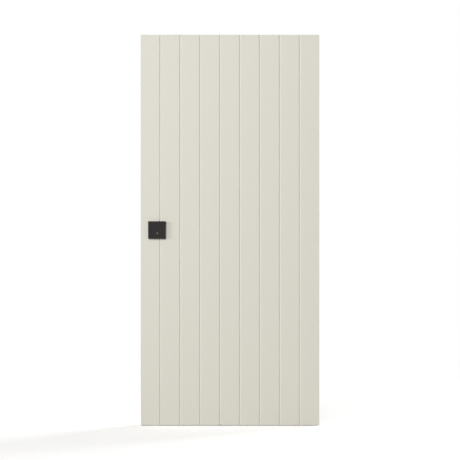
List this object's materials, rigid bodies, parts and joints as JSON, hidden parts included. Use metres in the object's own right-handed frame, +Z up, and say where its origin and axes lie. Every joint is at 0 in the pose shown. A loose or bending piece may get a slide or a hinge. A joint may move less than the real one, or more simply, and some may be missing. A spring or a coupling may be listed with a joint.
{
  "type": "aluminium entrance door",
  "caption": "Insulated aluminium entrance door with a vertically grooved leaf that laps over its frame, hidden hinges, a square black pull and a multi-point lock.",
  "frame": {"origin": "underside of the threshold, midway between the jambs and in the middle of the frame's depth", "axes": "+Z up, -Y outdoors (the side in the picture), +X towards the hinges"},
  "size_m": [0.96, 0.172, 2.105],
  "materials": {
    "coated_profile": "off-white fine-grain powder coating, semi-matt",
    "coated_sheet": "off-white fine-grain powder coating, semi-matt",
    "bare_aluminium": "natural anodised",
    "polyamide": "black glass-filled polyamide",
    "seal_rubber": "black EPDM",
    "core_foam": "rigid polyurethane foam",
    "hinge_aluminium": "black powder coating",
    "stainless_steel": "brushed stainless steel",
    "zinc_plated_steel": "zinc plated",
    "black_cylinder": "black electroplated brass, worn to bare metal at the rim of the key slot",
    "black_pull": "matt black powder coating",
    "black_furniture": "matt black powder coating"
  },
  "bodies": {
    "frame": {"bottom_hinge_frame_part": "hinge_aluminium", "bottom_hinge_pin": "stainless_steel", "frame_insulating_strips": "polyamide", "front_seal": "seal_rubber", "head_rail": "coated_profile", "hinge_jamb": "coated_profile", "lock_jamb": "coated_profile", "lock_strike": "stainless_steel", "lower_hook_strike": "stainless_steel", "middle_hinge_frame_part": "hinge_aluminium", "middle_hinge_pin": "stainless_steel", "stop_seal": "seal_rubber", "threshold_indoor_bar": "bare_aluminium", "threshold_insulating_strip": "polyamide", "threshold_outdoor_bar": "bare_aluminium", "top_hinge_frame_part": "hinge_aluminium", "top_hinge_pin": "stainless_steel", "upper_hook_strike": "stainless_steel"},
    "leaf": {"outdoor_sheet": "coated_sheet", "indoor_sheet": "coated_sheet", "insulating_core": "core_foam", "hinge_stile": "coated_profile", "lock_stile": "coated_profile", "top_rail": "coated_profile", "bottom_rail": "coated_profile", "leaf_insulating_strips": "polyamide", "drop_seal": "seal_rubber", "bottom_hinge_leaf_part": "hinge_aluminium", "middle_hinge_leaf_part": "hinge_aluminium", "top_hinge_leaf_part": "hinge_aluminium", "lock_faceplate": "stainless_steel", "lock_cases": "zinc_plated_steel", "latch_bolt": "stainless_steel", "dead_bolt": "stainless_steel", "lower_hook_bolt": "stainless_steel", "upper_hook_bolt": "stainless_steel", "cylinder_body": "black_cylinder", "key_plug": "black_cylinder", "thumb_turn": "black_furniture", "pull_neck": "black_pull", "pull_plate": "black_pull", "indoor_plate": "black_furniture", "lever_handle": "black_furniture"}
  },
  "joints": [
    {"name": "leaf_swing", "type": "hinge", "parent": "frame", "child": "leaf", "pos_m": [0.465, -0.06, 1.055], "axis": [0, 0, 1], "range_deg": [0, 100]}
  ]
}
